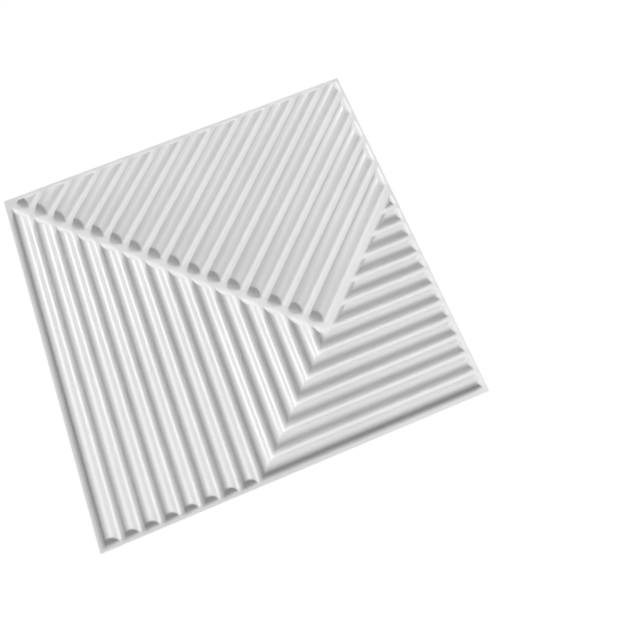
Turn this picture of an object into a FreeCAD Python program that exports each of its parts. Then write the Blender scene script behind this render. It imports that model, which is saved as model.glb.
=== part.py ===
# Ribbed wall panel tile: one thin thermoformed plastic sheet, 500 mm square.
# The back lies in z = 0, centred on the origin, and hollow ribs stand up from the front.
# Three fields of ribs share one kind of rounded section. Upright ribs fill the left, and from
# a certain rib on each turns a mitred corner into a level rib that runs to the right edge.
# Slanted ribs, a little wider, fill the corner above the diagonal from upper left to lower right.
import math
import os

import FreeCAD
import Part
import Sketcher

NODE = "ribbed_panel"

doc = FreeCAD.newDocument("ribbed_panel_tile")


# Driving dimensions in millimetres and degrees
DIMENSIONS = [
    ("panel_size", 500, "side of the square panel"),
    ("sheet_thickness", 1, "plastic sheet, the same everywhere"),
    ("rib_width", 20.4, "upright or level rib from foot to foot, root radii included"),
    ("slant_width", 23.6, "slanted rib from foot to foot, root radii included"),
    ("rib_height", 10.5, "crown above the flat front face"),
    ("root_radius", 2.5, "radius where a rib's flank runs into the flat"),
    ("flank_draft", 16, "lean of a flank from upright, degrees"),
    ("end_slope", 62, "slope of the closed rib ends, degrees"),
    ("side_border", 7, "flat border left of the first upright rib's foot"),
    ("low_border", 6.5, "flat border below the first level rib's foot"),
    ("end_margin", 6, "flat border in front of the rib ends"),
    ("straight_pitch", 24.7, "spacing of the upright and of the level ribs"),
    ("plain_ribs", 8, "upright ribs before the first one that turns the corner"),
    ("slant_pitch", 29.6, "spacing of the slanted ribs, counted from the upper left corner"),
    ("diagonal_gap", 6.4, "ends of the upright and level ribs to the diagonal"),
    ("slant_gap", 4.8, "ends of the slanted ribs to the diagonal"),
    ("mitre_gap", 2.1, "ends of the level ribs past the line of the mitres"),
    ("shortest_rib", 6, "shortest foot that is still formed at a corner"),
]

sizes = doc.addObject("Spreadsheet::Sheet", "Sizes")
for row, (alias, value, note) in enumerate(DIMENSIONS, start=1):
    sizes.set(f"A{row}", alias)
    sizes.set(f"B{row}", str(value))
    sizes.setAlias(f"B{row}", alias)
    sizes.set(f"C{row}", note)
doc.recompute()

# Expressions that several features share
HALF = "Sizes.panel_size / 2"
FIRST_UPRIGHT = f"-{HALF} + Sizes.side_border + Sizes.rib_width / 2"
FIRST_LEVEL = f"-{HALF} + Sizes.low_border + Sizes.rib_width / 2"
MITRE_RUN = "(Sizes.side_border - Sizes.low_border + Sizes.plain_ribs * Sizes.straight_pitch)"
MITRE_LINE = f"{MITRE_RUN} / sqrt(2)"
WALL_SHIFT = "Sizes.sheet_thickness / sin(Sizes.end_slope * 1 deg)"
X_AXIS = FreeCAD.Vector(1, 0, 0)
Y_AXIS = FreeCAD.Vector(0, 1, 0)
Z_AXIS = FreeCAD.Vector(0, 0, 1)


def rib_section(name, width, root_radius):
    """Closed rib section on the XZ plane: crown arc, two drafted flanks, two root arcs.

    It reaches one sheet thickness below the face that the rib springs from. width is the
    name of the rib's own width.
    """
    half_width = getattr(sizes, width) / 2
    foot = sizes.sheet_thickness
    radius = sizes.root_radius
    draft = math.radians(sizes.flank_draft)
    lean = math.sin(draft)
    upright = math.cos(draft)
    reach = half_width * upright + radius * lean - radius - sizes.rib_height * lean
    crown = reach / (1 - lean)
    crown_z = foot + sizes.rib_height - crown

    def point(x, z):
        return FreeCAD.Vector(x, z, 0)

    def arc(x, z, size, start, end):
        return Part.ArcOfCircle(Part.Circle(point(x, z), Z_AXIS, size), start, end)

    root_x = half_width - radius * upright
    root_z = foot + radius - radius * lean
    shoulder_x = crown * upright
    shoulder_z = crown_z + crown * lean
    sketch = doc.addObject("Sketcher::SketchObject", name)
    sketch.Placement = FreeCAD.Placement(FreeCAD.Vector(), FreeCAD.Rotation(X_AXIS, 90))
    floor = sketch.addGeometry(Part.LineSegment(point(-half_width, 0), point(half_width, 0)))
    right = sketch.addGeometry(Part.LineSegment(point(half_width, 0), point(half_width, foot)))
    right_root = sketch.addGeometry(
        arc(half_width, foot + radius, radius, math.pi + draft, 1.5 * math.pi))
    right_flank = sketch.addGeometry(
        Part.LineSegment(point(root_x, root_z), point(shoulder_x, shoulder_z)))
    top = sketch.addGeometry(arc(0, crown_z, crown, draft, math.pi - draft))
    left_flank = sketch.addGeometry(
        Part.LineSegment(point(-shoulder_x, shoulder_z), point(-root_x, root_z)))
    left_root = sketch.addGeometry(
        arc(-half_width, foot + radius, radius, 1.5 * math.pi, 2 * math.pi - draft))
    left = sketch.addGeometry(Part.LineSegment(point(-half_width, 0), point(-half_width, foot)))
    apex = sketch.addGeometry(Part.Point(point(0, crown_z + crown)), True)
    start, end, centre = 1, 2, 3
    origin_x, origin_y = -1, -2
    for rule in (
        ("Coincident", floor, end, right, start),
        ("Coincident", floor, start, left, start),
        ("Coincident", right, end, right_root, end),
        ("Coincident", left, end, left_root, start),
        ("Tangent", right_root, start, right_flank, start),
        ("Tangent", right_flank, end, top, start),
        ("Tangent", top, end, left_flank, start),
        ("Tangent", left_flank, end, left_root, end),
        ("Vertical", right),
        ("Vertical", left),
        ("Vertical", right_root, centre, right_root, end),
        ("Vertical", left_root, centre, left_root, start),
        ("Symmetric", floor, start, floor, end, origin_y),
        ("PointOnObject", floor, start, origin_x),
        ("PointOnObject", top, centre, origin_y),
        ("PointOnObject", apex, start, origin_y),
        ("PointOnObject", apex, start, top),
        ("Equal", right, left),
        ("Equal", right_root, left_root),
    ):
        sketch.addConstraint(Sketcher.Constraint(*rule))
    for constraint, bound in (
        (Sketcher.Constraint("DistanceX", floor, start, floor, end, 2 * half_width),
         f"Sizes.{width}"),
        (Sketcher.Constraint("DistanceY", right, start, right, end, foot),
         "Sizes.sheet_thickness"),
        (Sketcher.Constraint("Radius", right_root, radius), root_radius),
        (Sketcher.Constraint("DistanceY", floor, start, apex, start, foot + sizes.rib_height),
         "Sizes.sheet_thickness + Sizes.rib_height"),
        (Sketcher.Constraint("Angle", origin_x, start, right_flank, start,
                             math.pi / 2 + draft),
         "90 deg + Sizes.flank_draft * 1 deg"),
    ):
        index = sketch.addConstraint(constraint)
        sketch.setExpression(f"Constraints[{index}]", bound)
    return sketch


def rib(name, section, heading, x, y, z):
    """One straight rib, longer than the panel, turned from +Y by heading degrees."""
    bar = doc.addObject("Part::Extrusion", name)
    bar.Base = section
    bar.DirMode = "Custom"
    bar.Dir = Y_AXIS
    bar.Symmetric = True
    bar.Solid = True
    bar.setExpression("LengthFwd", "1.5 * Sizes.panel_size")
    bar.Placement = FreeCAD.Placement(FreeCAD.Vector(), FreeCAD.Rotation(Z_AXIS, heading))
    bar.setExpression("Placement.Base.x", x)
    bar.setExpression("Placement.Base.y", y)
    bar.setExpression("Placement.Base.z", z)
    return bar


def rib_group(name, ribs):
    group = doc.addObject("Part::Compound", name)
    group.Links = ribs
    return group


def end_cutter(name, azimuth, line, upright=False):
    """Block that clears all ribs short of a line, up a sloping plane or an upright one.

    azimuth is the way from the cutter to the ribs that stay, and line is the distance of
    the plane's foot from the panel's centre that way, where it meets the front face.
    """
    low = "-2 * Sizes.sheet_thickness"
    high = "2 * Sizes.rib_height"
    slope = "tan(Sizes.end_slope * 1 deg)"
    block = doc.addObject("Part::Wedge", name)
    turn = FreeCAD.Rotation(Z_AXIS, azimuth) * FreeCAD.Rotation(X_AXIS, 90)
    block.Placement = FreeCAD.Placement(FreeCAD.Vector(), turn)
    block.setExpression("Placement.Base.x", f"({line}) * cos({azimuth} deg)")
    block.setExpression("Placement.Base.y", f"({line}) * sin({azimuth} deg)")
    block.setExpression("Ymin", low)
    block.setExpression("Ymax", high)
    for edge in ("Xmin", "X2min", "Zmin", "Z2min"):
        block.setExpression(edge, "-2 * Sizes.panel_size")
    for edge in ("Zmax", "Z2max"):
        block.setExpression(edge, "2 * Sizes.panel_size")
    for edge, level in (("Xmax", low), ("X2max", high)):
        run = "0" if upright else f"({level} - Sizes.sheet_thickness) / {slope}"
        block.setExpression(edge, run)
    return block


def trimmed(name, ribs, cutters):
    """Cut each of the cutters from the ribs in turn."""
    kept = ribs
    for step, cutter in enumerate(cutters):
        cut = doc.addObject("Part::Cut", f"{name}_{step}")
        cut.Base = kept
        cut.Tool = cutter
        kept = cut
    return kept


def rib_counts():
    """How many upright, level and slanted ribs the panel has room for."""
    root_two = math.sqrt(2)
    half = sizes.panel_size / 2
    half_width = sizes.rib_width / 2
    mitre = sizes.side_border - sizes.low_border + sizes.plain_ribs * sizes.straight_pitch
    first_upright = -half + sizes.side_border + half_width
    last_corner = (mitre - root_two * sizes.diagonal_gap) / 2
    upright = 1 + int((last_corner - first_upright) // sizes.straight_pitch)
    first_level = -half + sizes.low_border + half_width
    edge = half - sizes.end_margin
    last_foot = edge - mitre - root_two * sizes.mitre_gap - sizes.shortest_rib
    level = 1 + int((last_foot + half_width - first_level) // sizes.straight_pitch)
    room = half * root_two + mitre / root_two - sizes.slant_width / 2 - sizes.mitre_gap
    slanted = int(room // sizes.slant_pitch)
    return upright, level, slanted


def rib_fields(kind, root_radius, drop, shift):
    """All ribs of one skin, trimmed: the outer form, or the hollow inside it."""
    straight = rib_section(f"{kind}_straight_section", "rib_width", root_radius)
    slant = rib_section(f"{kind}_slant_section", "slant_width", root_radius)
    upright_count, level_count, slanted_count = rib_counts()
    plain = int(sizes.plain_ribs)
    step = "Sizes.straight_pitch"

    edge = f"-{HALF} + Sizes.end_margin + {shift}"
    lower = end_cutter(f"{kind}_lower_cutter", 90, edge)
    right = end_cutter(f"{kind}_right_cutter", 180, edge)
    upper = end_cutter(f"{kind}_upper_cutter", 270, edge)
    slant_foot = end_cutter(f"{kind}_slant_cutter", 45, f"Sizes.slant_gap + {shift}")
    above = end_cutter(f"{kind}_diagonal_cutter", 225, f"Sizes.diagonal_gap + {shift}")
    beside = end_cutter(f"{kind}_level_cutter", 315, f"{MITRE_LINE} + Sizes.mitre_gap + {shift}")
    mitre_right = end_cutter(f"{kind}_mitre_right", 135, f"-({MITRE_LINE})", upright=True)
    mitre_left = end_cutter(f"{kind}_mitre_left", 315, MITRE_LINE, upright=True)
    clearing = doc.addObject("Part::Common", f"{kind}_slanted_clearing")
    clearing.Base = above
    clearing.Tool = beside

    def upright_rib(k):
        place = f"{FIRST_UPRIGHT} + {k} * {step}"
        return rib(f"{kind}_upright_{k}", straight, 0, place, "0", drop)

    def level_rib(k):
        place = f"{FIRST_LEVEL} + {k} * {step}"
        return rib(f"{kind}_level_{k}", straight, 90, "0", place, drop)

    def slanted_rib(k):
        along = f"{k} * Sizes.slant_pitch / sqrt(2)"
        return rib(f"{kind}_slanted_{k}", slant, -45, f"-{HALF} + {along}",
                   f"{HALF} - {along}", drop)

    fields = [
        ("plain", upright_rib, range(plain), [lower, clearing]),
        ("turned", upright_rib, range(plain, upright_count), [mitre_right, clearing]),
        ("mitred", level_rib, range(upright_count - plain), [mitre_left, right, clearing]),
        ("level", level_rib, range(upright_count - plain, level_count), [beside, right]),
        ("slanted", slanted_rib, range(1, slanted_count + 1), [slant_foot, upper, right]),
    ]
    trimmed_fields = []
    for field, make_rib, places, cutters in fields:
        ribs = rib_group(f"{kind}_{field}_ribs", [make_rib(k) for k in places])
        trimmed_fields.append(trimmed(f"{kind}_{field}_trim", ribs, cutters))
    return trimmed_fields


# Flat sheet with every rib standing on it as a solid form
sheet = doc.addObject("Part::Box", "flat_sheet")
sheet.setExpression("Length", "Sizes.panel_size")
sheet.setExpression("Width", "Sizes.panel_size")
sheet.setExpression("Height", "Sizes.sheet_thickness")
sheet.setExpression("Placement.Base.x", f"-{HALF}")
sheet.setExpression("Placement.Base.y", f"-{HALF}")
form = doc.addObject("Part::MultiFuse", "solid_form")
form.Shapes = [sheet] + rib_fields("front", "Sizes.root_radius", "0", "0")

# Hollow of the ribs, one sheet thickness inside the front
BACK_RADIUS = "Sizes.root_radius + Sizes.sheet_thickness"
hollow = doc.addObject("Part::MultiFuse", "rib_hollows")
hollow.Shapes = rib_fields("back", BACK_RADIUS, "-Sizes.sheet_thickness", WALL_SHIFT)

# Finished sheet: the form with the hollows taken out from behind
panel = doc.addObject("Part::Cut", NODE)
panel.Label = NODE
panel.Base = form
panel.Tool = hollow
doc.recompute()

for item in doc.Objects:
    if "Invalid" in item.State or "Error" in item.State:
        raise RuntimeError(f"{item.Label} failed to build: {item.State}")
if panel.Shape.isNull() or not panel.Shape.isValid() or len(panel.Shape.Solids) != 1:
    raise RuntimeError(f"{NODE} is not one valid solid")

os.makedirs("parts", exist_ok=True)
panel.Shape.exportStep(f"parts/{NODE}.step")
print(NODE, round(panel.Shape.Volume / 1000, 1), "cm3,", len(panel.Shape.Faces), "faces")
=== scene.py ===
import math

import bmesh
import bpy
import numpy as np
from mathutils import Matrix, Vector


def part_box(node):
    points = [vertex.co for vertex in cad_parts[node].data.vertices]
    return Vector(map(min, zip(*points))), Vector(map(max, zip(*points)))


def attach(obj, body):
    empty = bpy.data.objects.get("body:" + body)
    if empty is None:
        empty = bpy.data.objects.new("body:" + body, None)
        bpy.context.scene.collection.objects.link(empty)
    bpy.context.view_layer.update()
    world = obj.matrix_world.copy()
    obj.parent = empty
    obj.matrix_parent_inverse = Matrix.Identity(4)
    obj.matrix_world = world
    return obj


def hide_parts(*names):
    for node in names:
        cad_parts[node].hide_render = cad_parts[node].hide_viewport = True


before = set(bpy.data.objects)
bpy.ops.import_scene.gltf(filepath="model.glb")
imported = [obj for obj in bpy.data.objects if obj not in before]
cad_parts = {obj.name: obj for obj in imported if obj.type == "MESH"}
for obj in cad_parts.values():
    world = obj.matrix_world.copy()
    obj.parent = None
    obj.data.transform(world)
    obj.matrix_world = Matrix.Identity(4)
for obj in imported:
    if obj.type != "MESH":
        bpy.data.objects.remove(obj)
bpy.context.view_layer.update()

# Blank of the panel: a flat sheet of white plastic, about a millimetre thick, before it is
# drawn over the mould. It is laid out as strips, one for each rib, cut closely where a rib's
# section curves and across the rib ends, so that the sheet can bend there.
PANEL = "ribbed_panel"
ROOT_TWO = math.sqrt(2)
SHEET = 0.001
panel_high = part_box(PANEL)[1]
HALF_SIDE = float(panel_high[0])
RIB_HEIGHT = float(panel_high[2]) - SHEET
STRAIGHT_HALF_WIDTH = 0.0102
SLANT_HALF_WIDTH = 0.0115
SLANT_LEAN = 0.17
SLANT_SHIFT = 0.0007
ROOT_RADIUS = 0.0024
FLANK_DRAFT = math.radians(16)
SIDE_BORDER = 0.007
LOW_BORDER = 0.0065
END_MARGIN = 0.006
STRAIGHT_PITCH = 0.0247
PLAIN_RIBS = 8
UPRIGHT_RIBS = 14
LEVEL_RIBS = 12
SLANT_PITCH = 0.0296
SLANTED_RIBS = 16
DIAGONAL_GAP = 0.0064
SLANT_GAP = 0.0054
MITRE_GAP = 0.0021
TOUCH = 0.00002

FIRST_UPRIGHT = -HALF_SIDE + SIDE_BORDER + STRAIGHT_HALF_WIDTH
FIRST_LEVEL = -HALF_SIDE + LOW_BORDER + STRAIGHT_HALF_WIDTH
MITRE_RUN = SIDE_BORDER - LOW_BORDER + PLAIN_RIBS * STRAIGHT_PITCH

RIGHT = (1.0, 0.0)
UP = (0.0, 1.0)
RISING = (1 / ROOT_TWO, 1 / ROOT_TWO)
FALLING = (1 / ROOT_TWO, -1 / ROOT_TWO)


def opposite(way):
    """The way back."""
    return (-way[0], -way[1])


def crown_radius(half_width):
    """Radius of the crown that meets both flanks smoothly at the rib's height."""
    draft_sine = math.sin(FLANK_DRAFT)
    reach = half_width * math.cos(FLANK_DRAFT) - ROOT_RADIUS * (1 - draft_sine)
    return (reach - RIB_HEIGHT * draft_sine) / (1 - draft_sine)


def section_cuts(half_width, lean):
    """Places across a rib where the strip is cut: round the crown, down the flanks, round the roots.

    A leaning rib's section moves to the left by the lean for each unit of height.
    """
    crown_steps, flank_steps, root_steps = 14, 3, 4
    crown = crown_radius(half_width)
    section = []
    for step in range(crown_steps // 2 + 1):
        turn = math.pi / 2 - (math.pi / 2 - FLANK_DRAFT) * step / (crown_steps // 2)
        rise = RIB_HEIGHT - crown + crown * math.sin(turn)
        section.append((crown * math.cos(turn), rise))
    shoulder, shoulder_rise = section[-1]
    root = half_width - ROOT_RADIUS * math.cos(FLANK_DRAFT)
    root_rise = ROOT_RADIUS * (1 - math.sin(FLANK_DRAFT))
    for step in range(1, flank_steps + 1):
        share = step / flank_steps
        section.append((shoulder + (root - shoulder) * share,
                        shoulder_rise + (root_rise - shoulder_rise) * share))
    for step in range(1, root_steps + 1):
        turn = math.pi + FLANK_DRAFT + (math.pi / 2 - FLANK_DRAFT) * step / root_steps
        section.append((half_width + ROOT_RADIUS * math.cos(turn), ROOT_RADIUS * (1 + math.sin(turn))))
    right_side = [across - lean * rise for across, rise in section]
    left_side = [-across - lean * rise for across, rise in section[1:]]
    return right_side + left_side


def cut_across(way, distance, trim=False):
    """Cut the selected faces square to a way, so far from the panel's centre."""
    place = (way[0] * distance, way[1] * distance, 0)
    bpy.ops.mesh.bisect(plane_co=place, plane_no=(way[0], way[1], 0), clear_outer=trim,
                        threshold=TOUCH)


def select_faces(blank, wanted):
    """Select the faces whose centres pass the test."""
    mesh = bmesh.from_edit_mesh(blank.data)
    for face in mesh.faces:
        centre = face.calc_center_median()
        face.select_set(wanted(centre.x, centre.y))
    bmesh.update_edit_mesh(blank.data)


STRIP_LENGTH = 4 * HALF_SIDE


def rib_strips(name, half_width, across, first, pitch, count, lean=0.0):
    """Flat strips side by side, one for each rib, running square to the way across."""
    bpy.ops.object.select_all(action="DESELECT")
    bpy.ops.mesh.primitive_plane_add(size=1, location=(0, 0, 0))
    blank = bpy.context.object
    blank.name = name
    bpy.ops.object.mode_set(mode="EDIT")
    bpy.ops.transform.resize(value=(pitch, STRIP_LENGTH, 1))
    for place in section_cuts(half_width, lean):
        bpy.ops.mesh.select_all(action="SELECT")
        cut_across(RIGHT, place)
    bpy.ops.object.mode_set(mode="OBJECT")
    turn = math.atan2(across[1], across[0])
    blank.rotation_euler.z = turn
    blank.location = (across[0] * first, across[1] * first, 0)
    strips = blank.modifiers.new("strips", "ARRAY")
    strips.count = count
    strips.use_relative_offset = False
    strips.use_constant_offset = True
    strips.constant_offset_displace = (pitch, 0, 0)
    strips.use_merge_vertices = True
    strips.merge_threshold = TOUCH / 2
    bpy.ops.object.modifier_apply(modifier=strips.name)
    bpy.ops.object.transform_apply(location=True, rotation=True, scale=True)
    return blank


# Cuts across a rib end, counted from its foot inwards: round the root, up the slope, round the rim
END_CUTS = [-0.0028, -0.0021, -0.0014, -0.0008, -0.0002, 0.0004, 0.0011, 0.0019, 0.0027,
            0.0035, 0.0042, 0.0048, 0.0054, 0.006, 0.0067, 0.0075]


def trim_field(blank, borders, ends):
    """Trim strips to the field's borders, then cut closely across its rib ends.

    A border is a way out of the field and its distance. An end is a way into the ribs, the
    distance of the ends' foot that way, and a test for the faces that it crosses.
    """
    bpy.ops.object.mode_set(mode="EDIT")
    for way, distance in borders:
        bpy.ops.mesh.select_all(action="SELECT")
        cut_across(way, distance, trim=True)
    for way, foot, crosses in ends:
        for step in END_CUTS:
            select_faces(blank, crosses)
            cut_across(way, foot + step)
    bpy.ops.object.mode_set(mode="OBJECT")


EDGE_FOOT = -HALF_SIDE + END_MARGIN
MITRE_LINE = MITRE_RUN / ROOT_TWO
LEVEL_FOOT = MITRE_LINE + MITRE_GAP
PLAIN_SIDE = FIRST_UPRIGHT + (PLAIN_RIBS - 0.5) * STRAIGHT_PITCH
CORNER_REACH = 0.035


def everywhere(x, y):
    return True


def plain_part(x, y):
    return x < PLAIN_SIDE


def by_mitre_end(x, y):
    return x + y > -CORNER_REACH and x - y < MITRE_RUN + CORNER_REACH


upright_blank = rib_strips("upright_strips", STRAIGHT_HALF_WIDTH, RIGHT,
                           FIRST_UPRIGHT - STRAIGHT_PITCH, STRAIGHT_PITCH, UPRIGHT_RIBS + 2)
trim_field(
    upright_blank,
    [(opposite(RIGHT), HALF_SIDE), (opposite(UP), HALF_SIDE), (FALLING, MITRE_LINE), (RISING, 0)],
    [(UP, EDGE_FOOT, plain_part), (opposite(RISING), DIAGONAL_GAP, everywhere)])

level_blank = rib_strips("level_strips", STRAIGHT_HALF_WIDTH, UP,
                         FIRST_LEVEL - STRAIGHT_PITCH, STRAIGHT_PITCH, LEVEL_RIBS + 2)
trim_field(
    level_blank,
    [(opposite(UP), HALF_SIDE), (RIGHT, HALF_SIDE), (opposite(FALLING), -MITRE_LINE)],
    [(opposite(RIGHT), EDGE_FOOT, everywhere), (FALLING, LEVEL_FOOT, everywhere),
     (opposite(RISING), DIAGONAL_GAP, by_mitre_end)])

FIRST_SLANTED = -HALF_SIDE * ROOT_TWO + SLANT_PITCH - SLANT_SHIFT
slanted_blank = rib_strips("slanted_strips", SLANT_HALF_WIDTH, FALLING, FIRST_SLANTED - SLANT_PITCH,
                           SLANT_PITCH, SLANTED_RIBS + 2, SLANT_LEAN)
trim_field(
    slanted_blank,
    [(UP, HALF_SIDE), (RIGHT, HALF_SIDE), (opposite(RISING), 0), (FALLING, MITRE_LINE)],
    [(RISING, SLANT_GAP, everywhere), (opposite(UP), EDGE_FOOT, everywhere),
     (opposite(RIGHT), EDGE_FOOT, everywhere)])

bpy.ops.object.select_all(action="DESELECT")
for blank in (upright_blank, level_blank, slanted_blank):
    blank.select_set(True)
bpy.context.view_layer.objects.active = upright_blank
bpy.ops.object.join()
panel = bpy.context.object
panel.name = "formed_panel"
panel.data.name = "formed_panel"


def split_seam(way, distance):
    """Give the edges along a seam a point wherever the strips across it have one."""
    mesh = bmesh.from_edit_mesh(panel.data)
    seam = [edge for edge in mesh.edges if edge.is_boundary and all(
        abs(v.co.x * way[0] + v.co.y * way[1] - distance) < TOUCH for v in edge.verts)]

    def reach(point):
        return point.co.y * way[0] - point.co.x * way[1]

    places = sorted({reach(point) for edge in seam for point in edge.verts})
    for edge in seam:
        near, far = sorted(edge.verts, key=reach)
        start, end = reach(near), reach(far)
        between = [place for place in places if start + TOUCH < place < end - TOUCH]
        for place in reversed(between):
            added = bmesh.utils.edge_split(edge, near, (place - start) / (end - start))[0]
            if near in added.verts:
                edge = added
            end = place
    bmesh.update_edit_mesh(panel.data)


bpy.ops.object.mode_set(mode="EDIT")
split_seam(RISING, 0)
split_seam(FALLING, MITRE_LINE)
bpy.ops.mesh.select_all(action="SELECT")
bpy.ops.mesh.remove_doubles(threshold=2 * TOUCH)
bpy.ops.object.mode_set(mode="OBJECT")


# Formed panel: the warm blank of satin white plastic, drawn down over a ribbed mould and trimmed
# square. The ribs are hollow behind, their ends slope, and every bend is rounded as a drawn sheet
# rounds it. In use the flat back is glued to a wall.
RIM_RADIUS = 0.0011
END_SLOPE = math.radians(63)
SLANT_END_SLOPE = math.radians(57)
MITRE_SOFTNESS = 0.0008
NOTCH_SOFTNESS = 0.014


def section_distance(offset, z, half_width):
    """How far a point is outside a rib's section, from its offset and its height."""
    across = np.abs(offset)
    radius = crown_radius(half_width)
    rise = z - (RIB_HEIGHT - radius)
    crown = np.hypot(across, rise)
    flank = across * math.cos(FLANK_DRAFT) + rise * math.sin(FLANK_DRAFT)
    on_crown = rise * math.cos(FLANK_DRAFT) > across * math.sin(FLANK_DRAFT)
    return np.where(on_crown, crown, flank) - radius


def end_distance(inside, z, slope=END_SLOPE):
    """How far a point is outside a sloping rib end, from its way in past the end's foot."""
    return z * math.cos(slope) - inside * math.sin(slope)


def rim_rounded(first, second):
    """Both forms at once, with the edge between them rounded."""
    reach = np.hypot(np.maximum(RIM_RADIUS + first, 0), np.maximum(RIM_RADIUS + second, 0))
    return np.minimum(-RIM_RADIUS, np.maximum(first, second)) + reach


def root_rounded(form, flat):
    """Either form, with the corner between them rounded."""
    reach = np.hypot(np.maximum(ROOT_RADIUS - form, 0), np.maximum(ROOT_RADIUS - flat, 0))
    return np.maximum(ROOT_RADIUS, np.minimum(form, flat)) - reach


def eased_lower(first, second, softness):
    """The lower of two values, eased over where they cross."""
    near = np.maximum(softness - np.abs(first - second), 0) / softness
    return np.minimum(first, second) - near * near * softness / 4


def nearest_rib(place, first, pitch):
    """Number of the nearest rib in a row, and the offset from its middle."""
    index = np.round((place - first) / pitch)
    return index, place - first - index * pitch


NO_RIB = 1.0
HALVINGS = 40
SHARPEST_SMOOTH_BEND = math.radians(65)


def past_line(x, y, way, distance):
    """How far a place lies past a line square to a way."""
    return x * way[0] + y * way[1] - distance


def straight_rib(x, y, z, offset, ribbed):
    """Distance from an upright or level rib that stops short of the slanted field."""
    rib = np.where(ribbed, section_distance(offset, z, STRAIGHT_HALF_WIDTH), NO_RIB)
    above = end_distance(past_line(x, y, opposite(RISING), DIAGONAL_GAP), z)
    beside = end_distance(past_line(x, y, FALLING, LEVEL_FOOT), z)
    return rim_rounded(rib, eased_lower(above, beside, NOTCH_SOFTNESS))


def upright_form(x, y):
    """Distance function of the upright ribs: the first ones stop below, the rest turn."""
    index, offset = nearest_rib(x, FIRST_UPRIGHT, STRAIGHT_PITCH)
    turned = y - FIRST_LEVEL - (index - PLAIN_RIBS) * STRAIGHT_PITCH
    plain = index < PLAIN_RIBS
    offset = np.where(plain, offset, eased_lower(offset, turned, MITRE_SOFTNESS))
    ribbed = (index >= 0) & (index < UPRIGHT_RIBS)

    def distance(z):
        rib = straight_rib(x, y, z, offset, ribbed)
        lower = end_distance(past_line(x, y, UP, EDGE_FOOT), z)
        return np.where(plain, rim_rounded(rib, lower), rib)

    return distance


def level_form(x, y):
    """Distance function of the level ribs: the lower ones come round from upright ribs."""
    index, offset = nearest_rib(y, FIRST_LEVEL, STRAIGHT_PITCH)
    turned = x - FIRST_UPRIGHT - (index + PLAIN_RIBS) * STRAIGHT_PITCH
    mitred = index < UPRIGHT_RIBS - PLAIN_RIBS
    offset = np.where(mitred, eased_lower(offset, turned, MITRE_SOFTNESS), offset)
    ribbed = (index >= 0) & (index < LEVEL_RIBS)

    def distance(z):
        rib = straight_rib(x, y, z, offset, ribbed)
        right = end_distance(past_line(x, y, opposite(RIGHT), EDGE_FOOT), z)
        return rim_rounded(rib, right)

    return distance


def slanted_form(x, y):
    """Distance function of the slanted ribs."""
    index, offset = nearest_rib(past_line(x, y, FALLING, 0), FIRST_SLANTED, SLANT_PITCH)
    ribbed = (index >= 0) & (index < SLANTED_RIBS)

    def distance(z):
        straightened = offset + SLANT_LEAN * np.maximum(z, 0)
        rib = np.where(ribbed, section_distance(straightened, z, SLANT_HALF_WIDTH), NO_RIB)
        for way, foot in ((RISING, SLANT_GAP), (opposite(UP), EDGE_FOOT),
                          (opposite(RIGHT), EDGE_FOOT)):
            end = end_distance(past_line(x, y, way, foot), z, SLANT_END_SLOPE)
            rib = rim_rounded(rib, end)
        return rib

    return distance


def drawn_height(x, y, form):
    """Height of the mould's surface over each place of the blank, found by halving."""
    distance = form(x, y)
    low = np.full(len(x), -SHEET)
    high = np.full(len(x), RIB_HEIGHT + SHEET)
    for halving in range(HALVINGS):
        middle = (low + high) / 2
        inside = root_rounded(distance(middle), middle) < 0
        low = np.where(inside, middle, low)
        high = np.where(inside, high, middle)
    return low


points = np.empty(len(panel.data.vertices) * 3)
panel.data.vertices.foreach_get("co", points)
points = points.reshape(-1, 3)
flat_x, flat_y = points[:, 0], points[:, 1]
in_level = flat_x - flat_y > MITRE_RUN + TOUCH
in_slanted = ~in_level & (flat_x + flat_y > TOUCH)
height = drawn_height(flat_x, flat_y, upright_form)
height = np.where(in_level, drawn_height(flat_x, flat_y, level_form), height)
height = np.where(in_slanted, drawn_height(flat_x, flat_y, slanted_form), height)
points[:, 2] = SHEET + height
panel.data.vertices.foreach_set("co", points.ravel())
panel.data.update()

wall = panel.modifiers.new("wall", "SOLIDIFY")
wall.thickness = SHEET
wall.offset = -1
bpy.ops.object.modifier_apply(modifier=wall.name)
bpy.ops.object.shade_smooth_by_angle(angle=SHARPEST_SMOOTH_BEND)

DULLER_WHITE = (0.815, 0.815, 0.815, 1)
CLEARER_WHITE = (0.835, 0.835, 0.835, 1)
GLOSSIER_PATCHES = 0.28
DULLER_PATCHES = 0.36
CLOUDS_PER_METRE = 9
GRAINS_PER_METRE = 1400
GRAIN_DEPTH = 0.0001
white = bpy.data.materials.new("white_plastic")
white.use_nodes = True
nodes = white.node_tree.nodes
links = white.node_tree.links
skin = nodes["Principled BSDF"]
skin.inputs["IOR"].default_value = 1.5
place = nodes.new("ShaderNodeTexCoord")
cloud = nodes.new("ShaderNodeTexNoise")
cloud.inputs["Scale"].default_value = CLOUDS_PER_METRE
cloud.inputs["Detail"].default_value = 3
links.new(place.outputs["Object"], cloud.inputs["Vector"])
tone = nodes.new("ShaderNodeValToRGB")
tone.color_ramp.elements[0].position = 0.35
tone.color_ramp.elements[0].color = DULLER_WHITE
tone.color_ramp.elements[1].position = 0.65
tone.color_ramp.elements[1].color = CLEARER_WHITE
links.new(cloud.outputs["Fac"], tone.inputs["Fac"])
links.new(tone.outputs["Color"], skin.inputs["Base Color"])
sheen = nodes.new("ShaderNodeMapRange")
sheen.inputs["To Min"].default_value = GLOSSIER_PATCHES
sheen.inputs["To Max"].default_value = DULLER_PATCHES
links.new(cloud.outputs["Fac"], sheen.inputs["Value"])
links.new(sheen.outputs["Result"], skin.inputs["Roughness"])
grain = nodes.new("ShaderNodeTexNoise")
grain.inputs["Scale"].default_value = GRAINS_PER_METRE
grain.inputs["Detail"].default_value = 2
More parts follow.
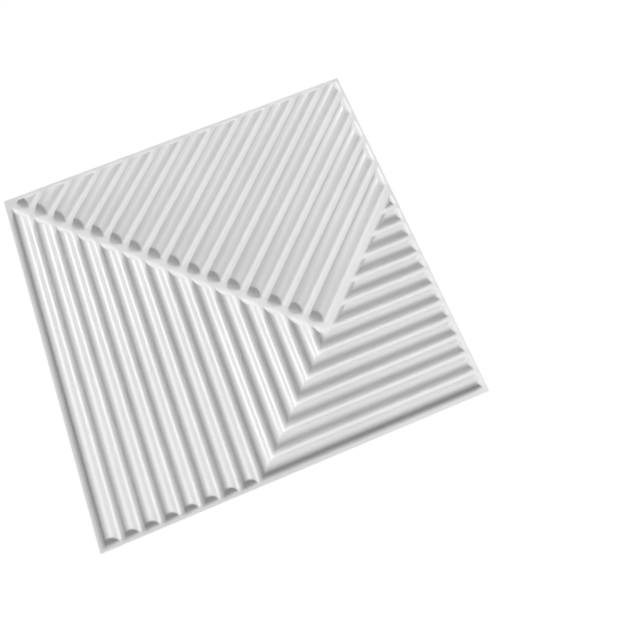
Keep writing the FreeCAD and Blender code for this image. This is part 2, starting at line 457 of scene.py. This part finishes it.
links.new(place.outputs["Object"], grain.inputs["Vector"])
relief = nodes.new("ShaderNodeBump")
relief.inputs["Strength"].default_value = 0.05
relief.inputs["Distance"].default_value = GRAIN_DEPTH
links.new(grain.outputs["Fac"], relief.inputs["Height"])
links.new(relief.outputs["Normal"], skin.inputs["Normal"])
panel.data.materials.clear()
panel.data.materials.append(white)
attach(panel, "root")
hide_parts(PANEL)

# Floor: a plain table top that the panel lies on. It shows white to the camera, also in the
# panel's reflections, and throws little light back at the panel's edges.
FLOOR_SIZE = 12
FLOOR_DROP = 0.0002
FLOOR_GREY = (0.15, 0.15, 0.15, 1)
FLOOR_GLOW = 0.9


def seen_as_background(tree):
    """One for rays that look at the background, straight, mirrored or through something."""
    path = tree.nodes.new("ShaderNodeLightPath")
    mirrored = tree.nodes.new("ShaderNodeMath")
    mirrored.operation = "MAXIMUM"
    tree.links.new(path.outputs["Is Glossy Ray"], mirrored.inputs[0])
    tree.links.new(path.outputs["Is Transmission Ray"], mirrored.inputs[1])
    seen = tree.nodes.new("ShaderNodeMath")
    seen.operation = "MAXIMUM"
    tree.links.new(path.outputs["Is Camera Ray"], seen.inputs[0])
    tree.links.new(mirrored.outputs["Value"], seen.inputs[1])
    return seen.outputs["Value"]


bpy.ops.object.select_all(action="DESELECT")
bpy.ops.mesh.primitive_plane_add(size=FLOOR_SIZE, location=(0, 0, -FLOOR_DROP))
floor = bpy.context.object
floor.name = "floor"
table = bpy.data.materials.new("white_table")
table.use_nodes = True
nodes = table.node_tree.nodes
links = table.node_tree.links
nodes.remove(nodes["Principled BSDF"])
surface = nodes.new("ShaderNodeBsdfDiffuse")
surface.inputs["Color"].default_value = FLOOR_GREY
glow = nodes.new("ShaderNodeEmission")
glow.inputs["Strength"].default_value = FLOOR_GLOW
shown = nodes.new("ShaderNodeAddShader")
links.new(surface.outputs["BSDF"], shown.inputs[0])
links.new(glow.outputs["Emission"], shown.inputs[1])
mix = nodes.new("ShaderNodeMixShader")
links.new(seen_as_background(table.node_tree), mix.inputs["Fac"])
links.new(surface.outputs["BSDF"], mix.inputs[1])
links.new(shown.outputs["Shader"], mix.inputs[2])
links.new(mix.outputs["Shader"], nodes["Material Output"].inputs["Surface"])
floor.data.materials.append(table)

# Light: a key lamp beyond the panel's far right corner, two broad lamps high above it, weak fills
# from the right, the near left and the far side, and a pale room that looks white. All the lamps
# are far away, so that every rib is lit alike.
ROOM_LIGHT = 0.03
ROOM_WHITE = 1.0
world = bpy.data.worlds.new("pale_room")
bpy.context.scene.world = world
world.use_nodes = True
nodes = world.node_tree.nodes
links = world.node_tree.links
room = nodes["Background"]
room.inputs["Color"].default_value = (1, 1, 1, 1)
shown = nodes.new("ShaderNodeMapRange")
shown.inputs["To Min"].default_value = ROOM_LIGHT
shown.inputs["To Max"].default_value = ROOM_WHITE
links.new(seen_as_background(world.node_tree), shown.inputs["Value"])
links.new(shown.outputs["Result"], room.inputs["Strength"])


def far_lamp(name, azimuth, elevation, spread, strength):
    """A lamp in a direction given in degrees, seen as wide as the spread."""
    tilt = math.radians(90 - elevation)
    bpy.ops.object.light_add(type="SUN", rotation=(tilt, 0, math.radians(azimuth + 90)))
    lamp = bpy.context.object
    lamp.name = name
    lamp.data.angle = math.radians(spread)
    lamp.data.energy = strength


far_lamp("key_lamp", azimuth=37, elevation=38, spread=12, strength=1.4)
far_lamp("top_fill", azimuth=45, elevation=65, spread=50, strength=0.59)
far_lamp("crown_fill", azimuth=10, elevation=69, spread=30, strength=0.7)
far_lamp("side_fill", azimuth=-15, elevation=40, spread=50, strength=0.24)
far_lamp("near_fill", azimuth=240, elevation=40, spread=50, strength=0.04)
far_lamp("back_fill", azimuth=90, elevation=15, spread=50, strength=0.25)

# Camera: looks steeply down on the panel, turned so that one corner points at the viewer. The
# panel stands left of the middle of the frame, and the small shift brings its left corner into it.
bpy.ops.object.camera_add(
    location=(0.05716, -0.36444, 0.84049),
    rotation=(math.radians(18.338), math.radians(2.311), math.radians(-22.338)))
camera = bpy.context.object
camera.name = "camera"
camera.data.lens = 38.812
camera.data.sensor_width = 36
camera.data.shift_x = -0.0499
camera.data.shift_y = -0.0072
bpy.context.scene.camera = camera

bpy.context.scene.view_settings.view_transform = "Standard"
